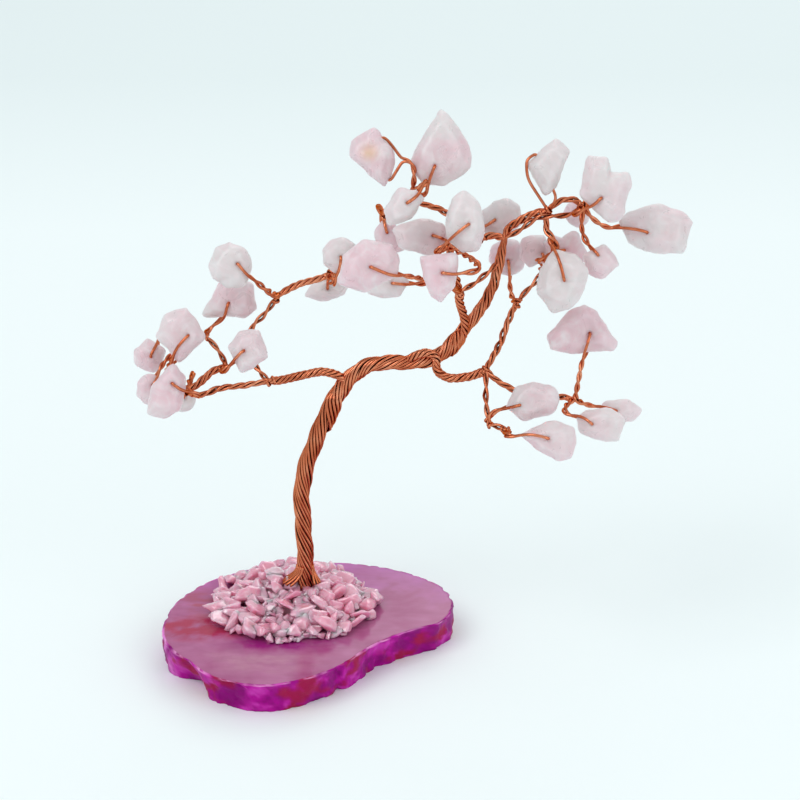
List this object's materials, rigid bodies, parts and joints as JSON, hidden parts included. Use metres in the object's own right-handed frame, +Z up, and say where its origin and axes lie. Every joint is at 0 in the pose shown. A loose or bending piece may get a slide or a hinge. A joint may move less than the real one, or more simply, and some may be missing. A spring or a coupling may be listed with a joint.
{
  "type": "gemstone tree ornament",
  "caption": "Small ornamental tree of twisted copper wire with drilled rose quartz chips on its twigs, planted in quartz gravel on a dyed agate slice.",
  "frame": {"origin": "middle of the agate slice's flat underside", "axes": "+Z up along the trunk's foot, +X to the right and +Y away from the viewer of the picture"},
  "size_m": [0.0936, 0.0478, 0.0956],
  "materials": {
    "rose_quartz": "milky translucent pink, tumbled and polished",
    "quartz_gravel": "glassy pink broken chips",
    "dyed_agate": "polished top, rough magenta rind",
    "copper_wire": "bare bright copper, twisted",
    "clear_glue": "clear glue under the gravel"
  },
  "bodies": {
    "tree": {"agate_slice": "dyed_agate", "centre_front_spray": "copper_wire", "centre_limb": "copper_wire", "centre_mid_spray": "copper_wire", "centre_top_spray": "copper_wire", "glue_bed": "clear_glue", "gravel_middle": "quartz_gravel", "gravel_outer": "quartz_gravel", "gravel_top": "quartz_gravel", "gravel_upper": "quartz_gravel", "left_limb": "copper_wire", "left_lower_spray": "copper_wire", "left_tip_spray": "copper_wire", "left_upper_spray": "copper_wire", "low_front_spray": "copper_wire", "low_limb": "copper_wire", "low_outer_spray": "copper_wire", "low_upper_spray": "copper_wire", "right_low_spray": "copper_wire", "right_tip_spray": "copper_wire", "right_upper_spray": "copper_wire", "root_ends": "copper_wire", "trunk": "copper_wire"},
    "C1": {"C1": "rose_quartz"},
    "C10": {"C10": "rose_quartz"},
    "C11": {"C11": "rose_quartz"},
    "C12": {"C12": "rose_quartz"},
    "C2": {"C2": "rose_quartz"},
    "C3": {"C3": "rose_quartz"},
    "C4": {"C4": "rose_quartz"},
    "C5": {"C5": "rose_quartz"},
    "C6": {"C6": "rose_quartz"},
    "C7": {"C7": "rose_quartz"},
    "C8": {"C8": "rose_quartz"},
    "C9": {"C9": "rose_quartz"},
    "D1": {"D1": "rose_quartz"},
    "D2": {"D2": "rose_quartz"},
    "D3": {"D3": "rose_quartz"},
    "D4": {"D4": "rose_quartz"},
    "D5": {"D5": "rose_quartz"},
    "L1": {"L1": "rose_quartz"},
    "L2": {"L2": "rose_quartz"},
    "L3": {"L3": "rose_quartz"},
    "L4": {"L4": "rose_quartz"},
    "L5": {"L5": "rose_quartz"},
    "L6": {"L6": "rose_quartz"},
    "L7": {"L7": "rose_quartz"},
    "L8": {"L8": "rose_quartz"},
    "R10": {"R10": "rose_quartz"},
    "R2": {"R2": "rose_quartz"},
    "R3": {"R3": "rose_quartz"},
    "R4": {"R4": "rose_quartz"},
    "R5": {"R5": "rose_quartz"},
    "R6": {"R6": "rose_quartz"},
    "R7": {"R7": "rose_quartz"},
    "R8": {"R8": "rose_quartz"},
    "R9": {"R9": "rose_quartz"}
  },
  "joints": [
    {"name": "C1_swing", "type": "hinge", "parent": "tree", "child": "C1", "pos_m": [0.0035, 0.017, 0.061], "axis": [0, -0.9205, 0.3907], "range_deg": [-12, 12]},
    {"name": "C10_swing", "type": "hinge", "parent": "tree", "child": "C10", "pos_m": [0.02697, -0.00578, 0.08054], "axis": [-0.0962, -0.9155, 0.3907], "range_deg": [-12, 12]},
    {"name": "C11_swing", "type": "hinge", "parent": "tree", "child": "C11", "pos_m": [0.03152, 0.01476, 0.07422], "axis": [0.0962, -0.9155, 0.3907], "range_deg": [-12, 12]},
    {"name": "C12_swing", "type": "hinge", "parent": "tree", "child": "C12", "pos_m": [0.02274, -0.01129, 0.07433], "axis": [-0.1281, -0.9115, 0.3907], "range_deg": [-12, 12]},
    {"name": "C2_swing", "type": "hinge", "parent": "tree", "child": "C2", "pos_m": [0.00572, 0.01081, 0.06904], "axis": [0.0962, -0.9155, 0.3907], "range_deg": [-12, 12]},
    {"name": "C3_swing", "type": "hinge", "parent": "tree", "child": "C3", "pos_m": [0.01072, -0.01111, 0.07522], "axis": [0.1598, -0.9065, 0.3907], "range_deg": [-12, 12]},
    {"name": "C4_swing", "type": "hinge", "parent": "tree", "child": "C4", "pos_m": [0.0145, 0.001, 0.068], "axis": [0, -0.9205, 0.3907], "range_deg": [-12, 12]},
    {"name": "C5_swing", "type": "hinge", "parent": "tree", "child": "C5", "pos_m": [0.01392, 0.0092, 0.07387], "axis": [-0.1281, -0.9115, 0.3907], "range_deg": [-12, 12]},
    {"name": "C6_swing", "type": "hinge", "parent": "tree", "child": "C6", "pos_m": [0.02099, 0.00319, 0.0755], "axis": [0.0962, -0.9155, 0.3907], "range_deg": [-12, 12]},
    {"name": "C7_swing", "type": "hinge", "parent": "tree", "child": "C7", "pos_m": [0.01654, -0.00269, 0.08305], "axis": [0.1914, -0.9004, 0.3907], "range_deg": [-12, 12]},
    {"name": "C8_swing", "type": "hinge", "parent": "tree", "child": "C8", "pos_m": [0.01333, 0.00435, 0.08767], "axis": [-0.1527, 0.4074, 0.9004], "range_deg": [-12, 12]},
    {"name": "C9_swing", "type": "hinge", "parent": "tree", "child": "C9", "pos_m": [0.02129, 0.00568, 0.08655], "axis": [0.0642, -0.9183, 0.3907], "range_deg": [-12, 12]},
    {"name": "D1_swing", "type": "hinge", "parent": "tree", "child": "D1", "pos_m": [0.04723, 0.00474, 0.05767], "axis": [0.0802, -0.917, 0.3907], "range_deg": [-12, 12]},
    {"name": "D2_swing", "type": "hinge", "parent": "tree", "child": "D2", "pos_m": [0.03587, -0.00356, 0.04826], "axis": [-0.1281, -0.9115, 0.3907], "range_deg": [-12, 12]},
    {"name": "D3_swing", "type": "hinge", "parent": "tree", "child": "D3", "pos_m": [0.03988, -0.0088, 0.04455], "axis": [0.0962, -0.9155, 0.3907], "range_deg": [-12, 12]},
    {"name": "D4_swing", "type": "hinge", "parent": "tree", "child": "D4", "pos_m": [0.0477, -0.0039, 0.045], "axis": [-0.0642, -0.9183, 0.3907], "range_deg": [-12, 12]},
    {"name": "D5_swing", "type": "hinge", "parent": "tree", "child": "D5", "pos_m": [0.0522, 0.004, 0.044], "axis": [0, -0.9205, 0.3907], "range_deg": [-12, 12]},
    {"name": "L1_swing", "type": "hinge", "parent": "tree", "child": "L1", "pos_m": [-0.01131, 0.00614, 0.0695], "axis": [0.1281, -0.9115, 0.3907], "range_deg": [-12, 12]},
    {"name": "L2_swing", "type": "hinge", "parent": "tree", "child": "L2", "pos_m": [-0.0128, 0.01155, 0.0605], "axis": [-0.0962, -0.9155, 0.3907], "range_deg": [-12, 12]},
    {"name": "L3_swing", "type": "hinge", "parent": "tree", "child": "L3", "pos_m": [-0.0195, 0.00353, 0.05782], "axis": [0.0802, -0.917, 0.3907], "range_deg": [-12, 12]},
    {"name": "L4_swing", "type": "hinge", "parent": "tree", "child": "L4", "pos_m": [-0.02602, 0.01083, 0.051], "axis": [-0.1914, -0.9004, 0.3907], "range_deg": [-12, 12]},
    {"name": "L5_swing", "type": "hinge", "parent": "tree", "child": "L5", "pos_m": [-0.02203, -0.00098, 0.0511], "axis": [0.0642, -0.9183, 0.3907], "range_deg": [-12, 12]},
    {"name": "L6_swing", "type": "hinge", "parent": "tree", "child": "L6", "pos_m": [-0.02595, 0.0043, 0.04855], "axis": [0.1598, -0.9065, 0.3907], "range_deg": [-12, 12]},
    {"name": "L7_swing", "type": "hinge", "parent": "tree", "child": "L7", "pos_m": [-0.0211, 0.01012, 0.04378], "axis": [0, -0.9205, 0.3907], "range_deg": [-12, 12]},
    {"name": "L8_swing", "type": "hinge", "parent": "tree", "child": "L8", "pos_m": [-0.0098, 0.00004, 0.0565], "axis": [-0.0802, -0.917, 0.3907], "range_deg": [-12, 12]},
    {"name": "R10_swing", "type": "hinge", "parent": "tree", "child": "R10", "pos_m": [0.0459, 0.01612, 0.07528], "axis": [0, -0.9205, 0.3907], "range_deg": [-12, 12]},
    {"name": "R2_swing", "type": "hinge", "parent": "tree", "child": "R2", "pos_m": [0.0342, 0.01877, 0.06545], "axis": [0, -0.9205, 0.3907], "range_deg": [-12, 12]},
    {"name": "R3_swing", "type": "hinge", "parent": "tree", "child": "R3", "pos_m": [0.03952, 0.01385, 0.06845], "axis": [0.0962, -0.9155, 0.3907], "range_deg": [-12, 12]},
    {"name": "R4_swing", "type": "hinge", "parent": "tree", "child": "R4", "pos_m": [0.03943, 0.00718, 0.08545], "axis": [-0.4262, 0.3169, 0.8473], "range_deg": [-12, 12]},
    {"name": "R5_swing", "type": "hinge", "parent": "tree", "child": "R5", "pos_m": [0.04854, 0.00144, 0.08253], "axis": [-0.0962, -0.9155, 0.3907], "range_deg": [-12, 12]},
    {"name": "R6_swing", "type": "hinge", "parent": "tree", "child": "R6", "pos_m": [0.05625, 0.00749, 0.07445], "axis": [0.1281, -0.9115, 0.3907], "range_deg": [-12, 12]},
    {"name": "R7_swing", "type": "hinge", "parent": "tree", "child": "R7", "pos_m": [0.0427, -0.00097, 0.06918], "axis": [-0.0802, -0.917, 0.3907], "range_deg": [-12, 12]},
    {"name": "R8_swing", "type": "hinge", "parent": "tree", "child": "R8", "pos_m": [0.04311, 0.01084, 0.07022], "axis": [0.0642, -0.9183, 0.3907], "range_deg": [-12, 12]},
    {"name": "R9_swing", "type": "hinge", "parent": "tree", "child": "R9", "pos_m": [0.0484, 0.00489, 0.07142], "axis": [0, -0.9205, 0.3907], "range_deg": [-12, 12]}
  ]
}
